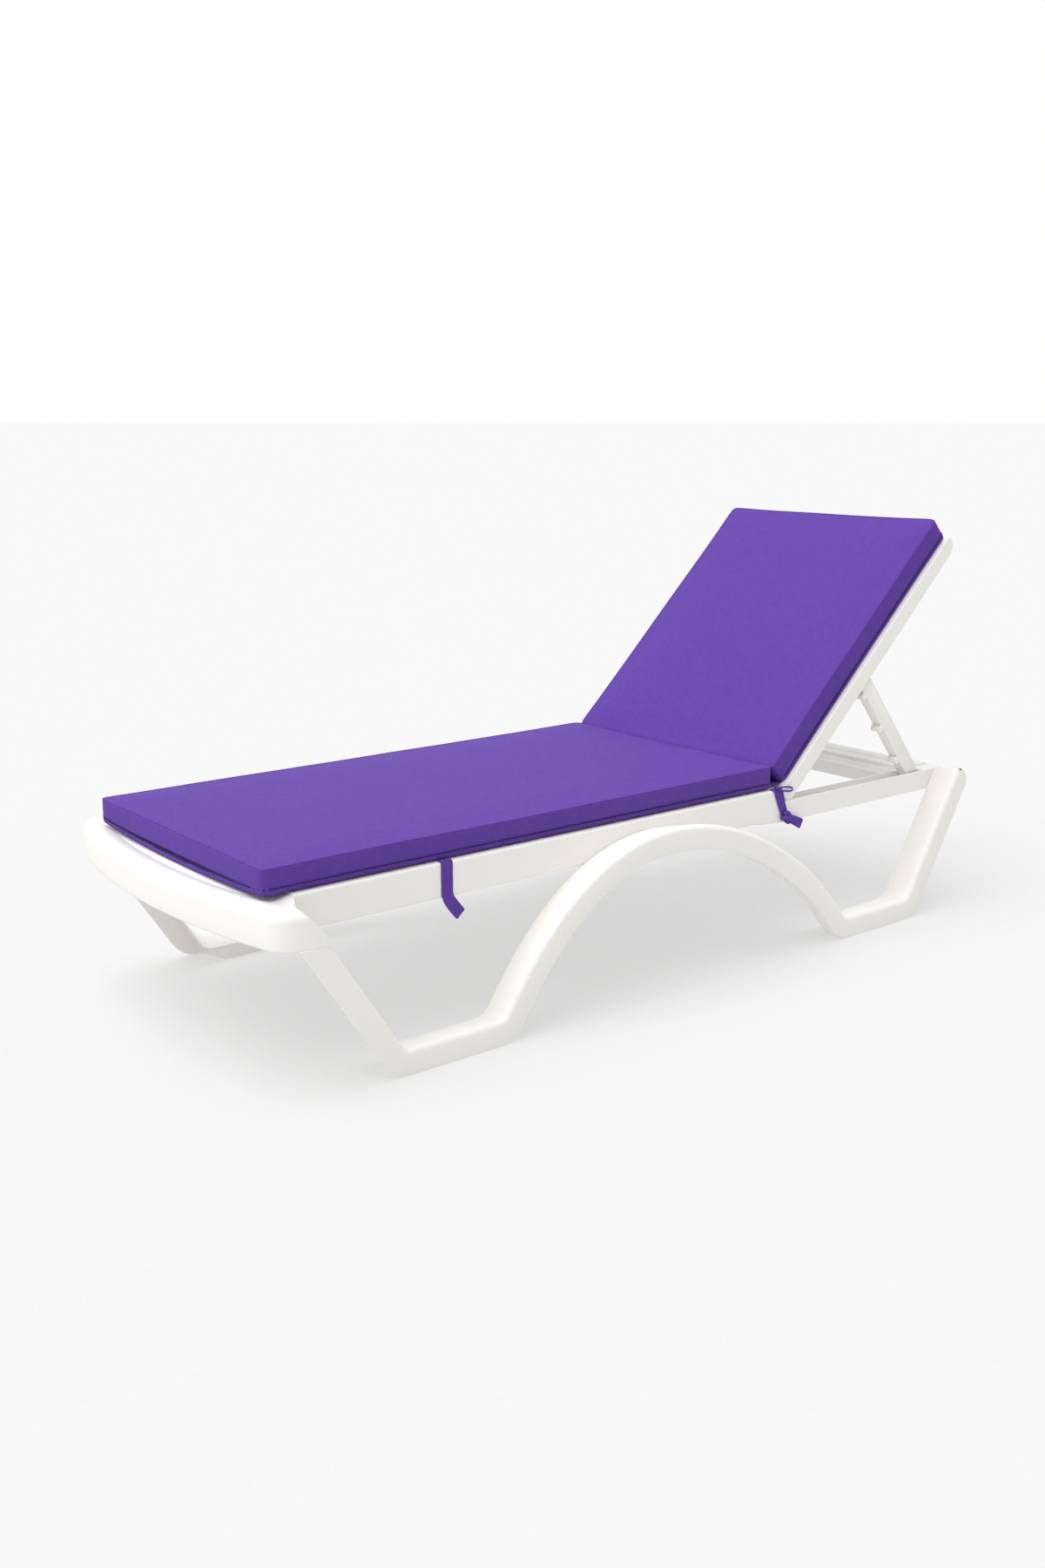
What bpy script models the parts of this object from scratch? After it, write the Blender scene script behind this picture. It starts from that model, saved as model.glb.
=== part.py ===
"""Reclining sun lounger: a moulded white frame on two arched leg frames, with a reclining
backrest propped by two pegged stays, and a two-part tie-on cushion.

Metres, +Z up, +X towards the head end. The origin is on the floor under the middle of the
bounding box. Lengths along the lounger are written as stations, measured from the cushion's
foot-end edge, and station() turns one into an X coordinate.
"""

from math import asin, cos, hypot, pi, radians, sin

import bmesh
import bpy
from mathutils import Vector

# Driving dimensions
PANEL_FRONT = -0.058          # station of the bowed foot-end panel's foremost line
HEAD_BACK = 1.706             # station of the head-end deck's rear face
DECK_TOP = 0.325              # height of the slatted deck above the floor
GAP = 0.0004                  # clearance that touching pieces keep
WALL = 0.005                  # moulded wall thickness

SIDE_OUT = 0.380              # half width over the leg frames
SIDE_IN = 0.3105              # half width where a leg frame meets its rail
BAND = 0.046                  # width of a leg frame's band, seen from the side
WINDOW_DRAFT = 0.015          # how far the band's window flange leans back over its depth

RAIL_OUT = 0.308              # half width over the side rails
RAIL_IN = 0.270
SEAT_RAIL = (0.0515, 1.177)   # stations where a seat rail starts and ends
SEAT_RAIL_BOTTOM = 0.262
REAR_RAIL = (1.1775, 1.698)
REAR_RAIL_BOTTOM = 0.2555
REAR_RAIL_TOP = 0.298
SLOT = (1.196, 1.640)         # stations of the slot in a rear rail
SLOT_OUT = 0.3035
SLOT_IN = 0.2725
REAR_RAIL_IN = 0.268

RECLINE = radians(44.2)       # backrest angle above flat, at rest
HINGE_STATION = 1.203
HINGE_HEIGHT = 0.3155
HINGE_PIN_RADIUS = 0.005

STILE_DEPTH = 0.034
STILE_OUT = 0.305
STILE_IN = 0.271
STILE_WALL = 0.0036
STILE_END = 0.686             # distance of the backrest's top end from its hinge
STILE_HOLLOW = (0.045, 0.640)

STAY_AT = 0.3048              # distance of a stay's pivot from the hinge, along the stile
STAY_DROP = 0.011             # and below the stile's middle
STAY_ANGLE = radians(-51.3)   # direction of a stay below the horizontal, at rest
STAY_LENGTH = 0.300
STAY_WIDTH = 0.034
STAY_OUT = 0.300
STAY_IN = 0.276
STAY_PIN_RADIUS = 0.004
PEG_FIRST = 0.030
PEG_PITCH = 0.098
PEG_OFFSET = 0.0205
PEG_RADIUS = 0.008

CUSHION_HALF = 0.300
CUSHION_THICK = 0.043
SEAT_CUSHION_LENGTH = 1.158
CUSHION_BASE = 0.3285
BACK_CUSHION = (0.005, 0.685)  # distances of its two ends from the hinge
BACK_CUSHION_HALF = 0.296
BACK_CUSHION_THICK = 0.050

FRONT_TIE_WIDTH = 0.025
HINGE_TIE_WIDTH = 0.020
TIE_THICK = 0.0022

MID_STATION = (PANEL_FRONT + HEAD_BACK) / 2


def station(s):
    return s - MID_STATION


# Materials

def material(name, colour, roughness):
    made = bpy.data.materials.new(name)
    made.use_nodes = True
    shader = made.node_tree.nodes["Principled BSDF"]
    shader.inputs["Base Color"].default_value = (*colour, 1)
    shader.inputs["Roughness"].default_value = roughness
    return made


# Solids. An outline is a list of (station, height) or (station, half width) points.

def keep(name, bm, finish, at=(0, 0, 0), turn=0.0, solid=True):
    """Make the bmesh an object, with its faces pointing out; turn is about the Y axis."""
    bmesh.ops.recalc_face_normals(bm, faces=bm.faces)
    mesh = bpy.data.meshes.new(name)
    bm.to_mesh(mesh)
    bm.free()
    made = bpy.data.objects.new(name, mesh)
    made.location = at
    made.rotation_euler = (0, turn, 0)
    bpy.context.scene.collection.objects.link(made)
    if finish:
        mesh.materials.append(finish)
    if not solid:
        made.hide_render = True
        made.display_type = "WIRE"
    return made


def skin(rings, close=True):
    """A closed solid through equal rings of points, capped at both ends."""
    bm = bmesh.new()
    loops = [[bm.verts.new(p) for p in ring] for ring in rings]
    count = len(loops[0])
    for low, high in zip(loops, loops[1:]):
        for i in range(count):
            j = (i + 1) % count
            bm.faces.new((low[i], low[j], high[j], high[i]))
    if close:
        bm.faces.new(loops[0])
        bm.faces.new(loops[-1])
    return bm


def prism_y(outline, low, high):
    """Outline in X and Z, run from y = low to y = high."""
    return skin([[(x, y, z) for x, z in outline] for y in (low, high)])


def prism_z(outline, low, high):
    """Outline in X and Y, run from z = low to z = high."""
    return skin([[(x, y, z) for x, y in outline] for z in (low, high)])


def box(x, y, z):
    return prism_y([(x[0], z[0]), (x[1], z[0]), (x[1], z[1]), (x[0], z[1])], *sorted(y))


def round_y(radius, low, high, centre=(0, 0), sides=24):
    points = [(centre[0] + radius * cos(2 * pi * k / sides),
               centre[1] + radius * sin(2 * pi * k / sides)) for k in range(sides)]
    return prism_y(points, low, high)


def combine(piece, tool, how):
    step = piece.modifiers.new(how.lower(), "BOOLEAN")
    step.operation = how
    step.object = tool


def sided(side, near, far):
    """The two Y values between half widths near and far, on the left (-1) or right (+1) side."""
    return tuple(sorted((side * near, side * far)))


# Curves

def fillet(points, radii, steps=6):
    """The polyline with each inner corner rounded to its radius."""
    path = [Vector(points[0])]
    for before, corner, after, radius in zip(points, points[1:], points[2:], radii):
        corner = Vector(corner)
        back = (Vector(before) - corner).normalized()
        ahead = (Vector(after) - corner).normalized()
        half = back.angle(ahead) / 2
        reach = radius / (sin(half) / cos(half))
        start, end = corner + back * reach, corner + ahead * reach
        middle = corner + (back + ahead).normalized() * (radius / sin(half))
        for k in range(steps + 1):
            chord = start.lerp(end, k / steps) - middle
            path.append(middle + chord.normalized() * radius)
    return path + [Vector(points[-1])]


def bezier(a, b, c, d, steps):
    points = []
    for k in range(steps + 1):
        t = k / steps
        u = 1 - t
        points.append(Vector(a) * u**3 + Vector(b) * 3 * u * u * t
                      + Vector(c) * 3 * u * t * t + Vector(d) * t**3)
    return points


def normals(path):
    """Unit normals of a planar path, to the left of its direction."""
    found = []
    for i, _ in enumerate(path):
        step = path[min(i + 1, len(path) - 1)] - path[max(i - 1, 0)]
        step.normalize()
        found.append(Vector((-step.y, step.x)))
    return found


# Side view of a leg frame's centre line: leg, foot, arch, foot, leg
FOOT_LINE = BAND / 2
LEG_TOP = (0.0345, 0.2735)
LEG_TOP_HEIGHT = 0.2545       # height of the level joint between the front leg and the panel
FRONT_TOE = (0.197, FOOT_LINE)
FRONT_HEEL = (0.425, FOOT_LINE)
ARCH_START = (0.4565, 0.071)
ARCH_PEAK = (0.815, 0.2965)
ARCH_END = (1.268, 0.0605)
REAR_TOE = (1.299, FOOT_LINE)
REAR_HEEL = (1.522, FOOT_LINE)
LEG_END = (1.6424, 0.2300)
REAR_TOP = (0.2985, 0.3110)    # height of the rear leg's top, by the rail and outside
REAR_ROUND = (0.017, 0.031)    # radius of its rounded rear corner, by the rail and outside
FULL_DEPTH = SIDE_OUT - SIDE_IN - 0.001
ARCH_DEPTH = 0.029
EDGE_DEPTHS = [(0.222, WALL), (0.250, FULL_DEPTH), (0.395, FULL_DEPTH), (0.425, ARCH_DEPTH),
               (1.320, ARCH_DEPTH), (1.345, FULL_DEPTH), (1.490, FULL_DEPTH), (1.520, 0.012),
               (1.600, 0.012), (1.640, FULL_DEPTH)]  # depth of the outer edge, by station


def divided(path, step):
    """The path with its straight runs divided."""
    points = [path[0]]
    for a, b in zip(path, path[1:]):
        count = max(1, round((b - a).length / step))
        points += [a.lerp(b, k / count) for k in range(1, count + 1)]
    return points


def leg_line():
    arch = bezier(ARCH_START, (0.544, 0.205), (0.662, ARCH_PEAK[1]), ARCH_PEAK, 10)
    arch += bezier(ARCH_PEAK, (0.990, ARCH_PEAK[1]), (1.176, 0.1775), ARCH_END, 12)[1:]
    front = fillet([LEG_TOP, FRONT_TOE, FRONT_HEEL, ARCH_START], (0.040, 0.045))
    rear = fillet([ARCH_END, REAR_TOE, REAR_HEEL, LEG_END], (0.045, 0.050))
    line = front[:1] + divided(front[1:], 0.020)[:-1] + arch + divided(rear, 0.020)[1:]
    return [Vector((station(p.x), p.y)) for p in line]


def eased(value, low, high):
    """0 up to low, 1 from high, and a smooth rise between them."""
    t = min(1.0, max(0.0, (value - low) / (high - low)))
    return t * t * (3 - 2 * t)


def leg_section(point):
    """Band section at a point, as (offset from the centre line, half width).

    An outside plate with a full-depth flange on the window's side. The outer edge is only the
    plate's thickness at the legs, deeper round the arch and solid through at the feet.
    """
    half = BAND / 2
    depth = EDGE_DEPTHS[0][1]
    for (start, low), (end, high) in zip(EDGE_DEPTHS, EDGE_DEPTHS[1:]):
        depth += (high - low) * eased(point.x, station(start), station(end))
    return [(-half, SIDE_OUT - depth), (-half, SIDE_OUT - 0.002), (-half + 0.002, SIDE_OUT),
            (half - 0.010, SIDE_OUT), (half - 0.003, SIDE_OUT - 0.003), (half, SIDE_OUT - 0.010),
            (half - WINDOW_DRAFT, SIDE_IN), (half - WINDOW_DRAFT - WALL, SIDE_IN),
            (half - WINDOW_DRAFT * depth / FULL_DEPTH - WALL, SIDE_OUT - depth)]


def rear_top(ring, up, share):
    """The rear leg's last ring carried up into its rounded top, which is whole at share 1."""
    lean = asin(up.x)
    turn = share * (pi / 2 + lean) - lean
    raised = []
    for i, point in enumerate(ring):
        outward = (abs(point.y) - SIDE_IN) / (SIDE_OUT - SIDE_IN)
        top = REAR_TOP[0] + (REAR_TOP[1] - REAR_TOP[0]) * outward
        radius = REAR_ROUND[0] + (REAR_ROUND[1] - REAR_ROUND[0]) * outward
        x = point.x + (top - point.z) * up.x / up.y
        if i < 3:
            x += radius * cos(turn) - radius * (1 + up.x) / up.y
            z = top - radius + radius * sin(turn)
        else:
            z = top - 0.040 * (1 - share)
            x -= 0.040 * (1 - share) * up.x / up.y
        raised.append(Vector((x, point.y, z)))
    return raised


def leg_frame(side, name, finish):
    line = leg_line()
    rings = []
    for p, n in zip(line, normals(line)):
        section = leg_section(p)
        rings.append([Vector((p.x + n.x * off, side * y, p.y + n.y * off)) for off, y in section])
    down = line[1] - line[0]
    for point in rings[0]:
        slide = (LEG_TOP_HEIGHT - point.z) / down.y
        point.x += down.x * slide
        point.z = LEG_TOP_HEIGHT
    up = (line[-1] - line[-2]).normalized()
    last = rings[-1]
    rings += [rear_top(last, up, k / 5) for k in range(6)]
    return keep(name, skin(rings), finish)


# Foot-end panel: an apron swept along a bowed plan line, and a top plate inside it

BOW = 0.040
CORNER_Y = 0.315
PANEL_SIDE_END = 0.0260       # station where the panel's side ends at its top
PANEL_SIDE_FOOT = 0.0745      # and at its lower edge
PLATE_END = 0.0505            # station where the panel's top plate meets the seat rails


def panel_line():
    corner = (PANEL_FRONT + BOW, CORNER_Y)
    slope = Vector((2 * BOW / CORNER_Y, 1)).normalized()
    side = bezier((PANEL_SIDE_END, SIDE_OUT), (0.012, SIDE_OUT),
                  (corner[0] + slope.x * 0.030, corner[1] + slope.y * 0.030), corner, 8)
    bow = []
    for k in range(1, 9):
        y = CORNER_Y * (1 - k / 8)
        bow.append(Vector((PANEL_FRONT + BOW * (y / CORNER_Y) ** 2, y)))
    half = side + bow
    other = [Vector((p.x, -p.y)) for p in reversed(half[:-1])]
    return [Vector((station(p.x), p.y)) for p in half + other]


APRON_BOTTOM = 0.255
PLATE_TOP = 0.3225


def foot_end_panel(finish):
    line = panel_line()
    inward = normals(line)
    crest = PLATE_TOP - 0.001
    apron = [(0.0, APRON_BOTTOM), (0.0, crest - 0.016), (0.004, crest - 0.005), (0.014, crest),
             (0.026, crest), (0.026, crest - 0.003), (0.014, crest - WALL),
             (0.008, crest - 0.009), (WALL, crest - 0.018), (WALL, APRON_BOTTOM)]
    rings = [[Vector((p.x + n.x * off, p.y + n.y * off, z)) for off, z in apron]
             for p, n in zip(line, inward)]
    for ring in (rings[0], rings[-1]):
        for point in ring:
            share = max(0.0, (point.z - APRON_BOTTOM) / (crest - APRON_BOTTOM)) ** 1.3
            point.x = station(PANEL_SIDE_FOOT + (PANEL_SIDE_END - PANEL_SIDE_FOOT) * share)
    panel = keep("foot_end_panel", skin(rings), finish)
    inside = [(p.x + n.x * 0.020, p.y + n.y * 0.020) for p, n in zip(line, inward)]
    shoulder, end = station(PANEL_SIDE_END) - 0.002, station(PLATE_END)
    inside = [(end, RAIL_OUT), (shoulder, RAIL_OUT), (shoulder, inside[0][1]), *inside[1:-1],
              (shoulder, inside[-1][1]), (shoulder, -RAIL_OUT), (end, -RAIL_OUT)]
    plate = keep("panel_plate", prism_z(inside, PLATE_TOP - WALL, PLATE_TOP), None, solid=False)
    combine(panel, plate, "UNION")
    return panel


# Rails, deck and seat

def seat_rail(side, name, finish):
    low, high = SEAT_RAIL_BOTTOM, DECK_TOP
    section = [(RAIL_OUT, low), (RAIL_OUT, high - 0.004), (RAIL_OUT - 0.004, high),
               (RAIL_IN, high), (RAIL_IN, low), (RAIL_IN + WALL, low),
               (RAIL_IN + WALL, high - WALL), (RAIL_OUT - WALL, high - WALL),
               (RAIL_OUT - WALL, low)]
    rings = [[(station(s), side * y, z) for y, z in section] for s in SEAT_RAIL]
    return keep(name, skin(rings), finish)


def rear_rail(side, name, finish):
    rail = keep(name, box([station(s) for s in REAR_RAIL], sided(side, REAR_RAIL_IN, RAIL_OUT),
                          (REAR_RAIL_BOTTOM, REAR_RAIL_TOP)), finish)
    slot = keep(name + "_slot", box([station(s) for s in SLOT], sided(side, SLOT_IN, SLOT_OUT),
                                    (REAR_RAIL_BOTTOM - 0.02, REAR_RAIL_TOP + 0.02)),
                None, solid=False)
    combine(rail, slot, "DIFFERENCE")
    return rail


def head_end_deck(finish):
    front, step, back = 1.560, 1.614, HEAD_BACK
    low_tier, high_tier = 0.2925, 0.300
    outline = [(front, 0.266), (front, low_tier), (step, low_tier), (step + 0.004, high_tier),
               (back - 0.005, high_tier), (back, high_tier - 0.005), (back, 0.250),
               (back - WALL, 0.250), (back - WALL, high_tier - WALL),
               (step + 0.006, high_tier - WALL), (step + 0.002, low_tier - WALL),
               (front + WALL, low_tier - WALL), (front + WALL, 0.266)]
    half = REAR_RAIL_IN - GAP
    return keep("head_end_deck", prism_y([(station(s), z) for s, z in outline], -half, half), finish)


SLAT_COUNT = 10
SLAT_THICK = 0.012
SLAT_PITCH = 0.108
SLAT_WIDTH = 0.090
FIRST_SLAT = 0.056


def seat_slats(finish):
    half = RAIL_IN - GAP
    for k in range(SLAT_COUNT):
        start = FIRST_SLAT + k * SLAT_PITCH
        keep(f"seat_slat_{k + 1:02d}",
             box((station(start), station(start + SLAT_WIDTH)), (-half, half),
                 (DECK_TOP - SLAT_THICK, DECK_TOP - GAP)), finish)


BEAM_STATIONS = {"front_cross_beam": 0.300, "middle_cross_beam": 0.732}


def cross_beams(finish):
    half = RAIL_IN - GAP
    top = DECK_TOP - SLAT_THICK - GAP
    for name, s in BEAM_STATIONS.items():
        section = [(-0.018, 0.272), (-0.018, top), (0.018, top), (0.018, 0.272),
                   (0.018 - WALL, 0.272), (0.018 - WALL, top - WALL),
                   (-0.018 + WALL, top - WALL), (-0.018 + WALL, 0.272)]
        keep(name, prism_y([(station(s) + x, z) for x, z in section], -half, half), finish)


BRACKET_OUT = 0.2675
BRACKET_IN = 0.2615


def hinge_fittings(white, steel):
    half = BRACKET_IN - GAP
    keep("hinge_cross_beam", box((station(1.146), station(1.176)), (-half, half), (0.266, 0.3235)),
         white)
    outline = [(1.150, 0.266), (1.226, 0.266), (1.226, 0.3155), (1.218, 0.3265), (1.150, 0.3265)]
    for side, word in SIDES:
        bracket = keep(f"hinge_bracket_{word}",
                       prism_y([(station(s), z) for s, z in outline],
                               *sided(side, BRACKET_IN, BRACKET_OUT)), white)
        centre = (station(HINGE_STATION), HINGE_HEIGHT)
        bore = keep(f"bracket_bore_{word}", round_y(HINGE_PIN_RADIUS + GAP,
                    *sided(side, BRACKET_IN - 0.01, BRACKET_OUT + 0.01), centre), None, solid=False)
        combine(bracket, bore, "DIFFERENCE")
        keep(f"hinge_pin_{word}", round_y(HINGE_PIN_RADIUS, *sided(side, 0.2600, 0.2995)), steel,
             at=(centre[0], 0, centre[1]))


# Backrest: modelled lying flat with the hinge at the origin, then turned up about the hinge

def on_back(name, bm, finish, **options):
    return keep(name, bm, finish, at=(station(HINGE_STATION), 0, HINGE_HEIGHT), turn=-RECLINE,
                **options)


def stile(side, word, finish):
    half = STILE_DEPTH / 2
    end = STILE_END
    outline = [(half * cos(a), half * sin(a)) for a in
               [radians(90 + 180 * k / 10) for k in range(11)]]
    outline += [(end - 0.022, -half), (end - 0.007, -half + 0.006), (end, -half + 0.020),
                (end, half - 0.004), (end - 0.004, half)]
    piece = on_back(f"backrest_stile_{word}", prism_y(outline, *sided(side, STILE_IN, STILE_OUT)),
                    finish)
    hollow = box(STILE_HOLLOW, sided(side, STILE_IN + STILE_WALL, STILE_OUT - STILE_WALL),
                 (-half - 0.02, half - STILE_WALL))
    bore = round_y(HINGE_PIN_RADIUS + GAP, *sided(side, STILE_IN - 0.01, 0.3000))
    pivot = round_y(STAY_PIN_RADIUS + GAP, *sided(side, STILE_IN - 0.01, STILE_IN + 0.006),
                    (STAY_AT, -STAY_DROP))
    for label, bm in (("hollow", hollow), ("bore", bore), ("pivot", pivot)):
        combine(piece, on_back(f"stile_{label}_{word}", bm, None, solid=False), "DIFFERENCE")


BACK_SLAT_COUNT = 6
BACK_SLAT_PITCH = 0.0955
BACK_SLAT_WIDTH = 0.076
FIRST_BACK_SLAT = 0.072


def backrest(white, steel):
    half = STILE_DEPTH / 2
    inner = STILE_IN - GAP
    for side, word in SIDES:
        stile(side, word, white)
        pin = round_y(STAY_PIN_RADIUS, *sided(side, 0.2665, 0.3008), (STAY_AT, -STAY_DROP))
        on_back(f"stay_pin_{word}", pin, steel)
    on_back("backrest_bottom_rail", box((0.034, 0.064), (-inner, inner), (-half, half)), white)
    end = STILE_END
    top = [(end - 0.040, half), (end - 0.040, -half), (end - 0.022, -half),
           (end - 0.007, -half + 0.006), (end, -half + 0.020), (end, half - 0.004),
           (end - 0.004, half)]
    on_back("backrest_top_rail", prism_y(top, -inner, inner), white)
    for k in range(BACK_SLAT_COUNT):
        start = FIRST_BACK_SLAT + k * BACK_SLAT_PITCH
        on_back(f"backrest_slat_{k + 1}",
                box((start, start + BACK_SLAT_WIDTH), (-inner, inner), (half - SLAT_THICK, half)),
                white)


# Stays: modelled pointing along +X from the pivot, with the pegs below, then turned down

def stays(finish):
    pivot_x = station(HINGE_STATION) + STAY_AT * cos(RECLINE) + STAY_DROP * sin(RECLINE)
    pivot_z = HINGE_HEIGHT + STAY_AT * sin(RECLINE) - STAY_DROP * cos(RECLINE)
    half = STAY_WIDTH / 2
    place = {"at": (pivot_x, 0, pivot_z), "turn": -STAY_ANGLE}
    outline = [(half * cos(a), half * sin(a)) for a in
               [radians(90 + 180 * k / 10) for k in range(11)]]
    outline += [(STAY_LENGTH - 0.006, -half), (STAY_LENGTH, -half + 0.006),
                (STAY_LENGTH, half - 0.006), (STAY_LENGTH - 0.006, half)]
    for side, word in SIDES:
        width = sided(side, STAY_IN, STAY_OUT)
        bar = keep(f"stay_{word}", prism_y(outline, *width), finish, **place)
        for k in range(3):
            at = PEG_FIRST + k * PEG_PITCH
            peg = keep(f"stay_peg_{word}_{k + 1}",
                       round_y(PEG_RADIUS, *width, (at, -PEG_OFFSET), 16), None, solid=False,
                       **place)
            combine(bar, peg, "UNION")
        hole = round_y(STAY_PIN_RADIUS + GAP, width[0] - 0.01, width[1] + 0.01)
        combine(bar, keep(f"stay_hole_{word}", hole, None, solid=False, **place), "DIFFERENCE")


# Cushion and its ties

def rounded_box(x, y, z, radius):
    """A box whose four upright edges are rounded."""
    corners = [(x[0] + radius, y[0] + radius, 180), (x[1] - radius, y[0] + radius, 270),
               (x[1] - radius, y[1] - radius, 0), (x[0] + radius, y[1] - radius, 90)]
    outline = []
    for cx, cy, start in corners:
        for k in range(4):
            a = radians(start + 30 * k)
            outline.append((cx + radius * cos(a), cy + radius * sin(a)))
    return prism_z(outline, *z)


def cushions(fabric):
    keep("seat_cushion", rounded_box((station(0), station(SEAT_CUSHION_LENGTH)),
                                     (-CUSHION_HALF, CUSHION_HALF),
                                     (CUSHION_BASE, CUSHION_BASE + CUSHION_THICK), 0.012), fabric)
    face = STILE_DEPTH / 2 + 0.0005
    on_back("back_cushion", rounded_box(BACK_CUSHION, (-BACK_CUSHION_HALF, BACK_CUSHION_HALF),
                                        (face, face + BACK_CUSHION_THICK), 0.012), fabric)


# Tie routes as (station, half width, height): out from under the cushion, down the rail's
# outer face, then the free tail
FRONT_TIE = [(0.345, 0.2980, 0.3270), (0.345, 0.3030, 0.3271), (0.345, 0.3072, 0.3264),
             (0.345, 0.3096, 0.3238), (0.345, 0.3103, 0.3195), (0.345, 0.3104, 0.3120),
             (0.345, 0.3104, 0.3030), (0.345, 0.3104, 0.2940), (0.345, 0.3104, 0.2850),
             (0.345, 0.3104, 0.2760), (0.345, 0.3106, 0.2690), (0.346, 0.3112, 0.2625),
             (0.3485, 0.3128, 0.2560), (0.353, 0.3146, 0.2490), (0.358, 0.3160, 0.2420),
             (0.3635, 0.3170, 0.2350), (0.370, 0.3176, 0.2280)]
HINGE_TIE = [(1.1635, 0.2980, 0.3270), (1.1635, 0.3030, 0.3271), (1.1638, 0.3072, 0.3264),
             (1.1645, 0.3096, 0.3238), (1.166, 0.3104, 0.3190), (1.169, 0.3106, 0.3110),
             (1.172, 0.3106, 0.3030), (1.175, 0.3106, 0.2950), (1.178, 0.3106, 0.2870),
             (1.181, 0.3108, 0.2790), (1.184, 0.3112, 0.2710), (1.188, 0.3120, 0.2630),
             (1.194, 0.3132, 0.2560), (1.202, 0.3146, 0.2500), (1.210, 0.3156, 0.2450),
             (1.218, 0.3164, 0.2400)]


def tie(name, route, side, width, fabric):
    """A flat tape along the route, lying on the rail's rounded top edge and outer face."""
    points = [Vector((station(s), side * y, z)) for s, y, z in route]
    rings = []
    for i, p in enumerate(points):
        along = (points[min(i + 1, len(points) - 1)] - points[max(i - 1, 0)]).normalized()
        over = max(0.0, abs(p.y) - 0.302)
        face = Vector((0, side * over, max(0.0, p.z - 0.319))).normalized()
        across = along.cross(face).normalized()
        out = across.cross(along).normalized()
        w, t = across * (width / 2), out * (TIE_THICK / 2)
        rings.append([p - w - t, p + w - t, p + w + t, p - w + t])
    keep(name, skin(rings), fabric)


SIDES = ((-1, "left"), (1, "right"))


def build():
    for old in list(bpy.data.objects):
        bpy.data.objects.remove(old)
    white = material("white_resin", (0.80, 0.79, 0.77), 0.42)
    steel = material("pin_steel", (0.60, 0.60, 0.61), 0.35)
    fabric = material("purple_fabric", (0.19, 0.095, 0.46), 0.85)
    for side, word in SIDES:
        leg_frame(side, f"leg_frame_{word}", white)
        seat_rail(side, f"seat_rail_{word}", white)
        rear_rail(side, f"rear_rail_{word}", white)
        tie(f"front_tie_{word}", FRONT_TIE, side, FRONT_TIE_WIDTH, fabric)
        tie(f"hinge_tie_{word}", HINGE_TIE, side, HINGE_TIE_WIDTH, fabric)
    foot_end_panel(white)
    head_end_deck(white)
    seat_slats(white)
    cross_beams(white)
    hinge_fittings(white, steel)
    backrest(white, steel)
    stays(white)
    cushions(fabric)


build()
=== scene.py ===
"""Looks for the reclining sun lounger: moulded resin, padded cushions, ties, floor, light, camera."""

from math import asin, atan2, cos, hypot, pi, radians, sin

import bmesh
import bpy
from mathutils import Matrix, Vector
from mathutils.noise import noise


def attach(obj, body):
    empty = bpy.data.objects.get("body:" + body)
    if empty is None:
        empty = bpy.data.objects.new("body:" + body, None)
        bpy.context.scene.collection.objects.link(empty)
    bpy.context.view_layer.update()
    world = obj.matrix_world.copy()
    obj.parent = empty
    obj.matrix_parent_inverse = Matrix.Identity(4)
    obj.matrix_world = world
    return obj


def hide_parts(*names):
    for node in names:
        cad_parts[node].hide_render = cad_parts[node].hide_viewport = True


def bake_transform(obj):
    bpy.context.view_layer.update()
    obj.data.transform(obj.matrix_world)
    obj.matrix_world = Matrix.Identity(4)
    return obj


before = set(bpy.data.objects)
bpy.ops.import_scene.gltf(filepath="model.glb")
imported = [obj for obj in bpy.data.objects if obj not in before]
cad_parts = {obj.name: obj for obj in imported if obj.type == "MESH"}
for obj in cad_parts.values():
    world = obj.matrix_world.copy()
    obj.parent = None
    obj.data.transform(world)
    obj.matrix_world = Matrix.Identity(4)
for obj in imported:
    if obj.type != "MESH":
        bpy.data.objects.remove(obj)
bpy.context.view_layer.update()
print("frame loaded")

# Stations run along the lounger from the seat cushion's foot edge.
midStation = 0.824
sides = ((-1, "left"), (1, "right"))


def alongX(s):
    return s - midStation


# Camera, at the angle the lounger is seen from

camera = {"place": (-1.928485, -2.322025, 1.047563), "azimuth": 38.6933, "pitch": 13.3594,
          "lens": 35.25}

cameraData = bpy.data.cameras.new("camera")
cameraData.lens = camera["lens"]
cameraData.sensor_width = 36
cameraObject = bpy.data.objects.new("camera", cameraData)
cameraObject.location = camera["place"]
cameraObject.rotation_euler = (radians(90 - camera["pitch"]), 0, -radians(camera["azimuth"]))
bpy.context.scene.collection.objects.link(cameraObject)
bpy.context.scene.camera = cameraObject


# Materials

def nodeGroup(name, inputs, outputs):
    """A shader node group, with its nodes and links ready to fill."""
    group = bpy.data.node_groups.new(name, "ShaderNodeTree")
    for label, kind, value in inputs:
        socket = group.interface.new_socket(label, in_out="INPUT", socket_type=kind)
        socket.default_value = value
    for label, kind in outputs:
        group.interface.new_socket(label, in_out="OUTPUT", socket_type=kind)
    return group, group.nodes.new("NodeGroupInput"), group.nodes.new("NodeGroupOutput")


def addNode(tree, kind, links=(), **settings):
    """A node with its properties or input values set, and links as (input, source socket)."""
    made = tree.nodes.new(kind)
    for key, value in settings.items():
        if hasattr(made, key):
            setattr(made, key, value)
        else:
            made.inputs[key.replace("_", " ")].default_value = value
    for label, source in links:
        tree.links.new(source, made.inputs[label])
    return made


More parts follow.
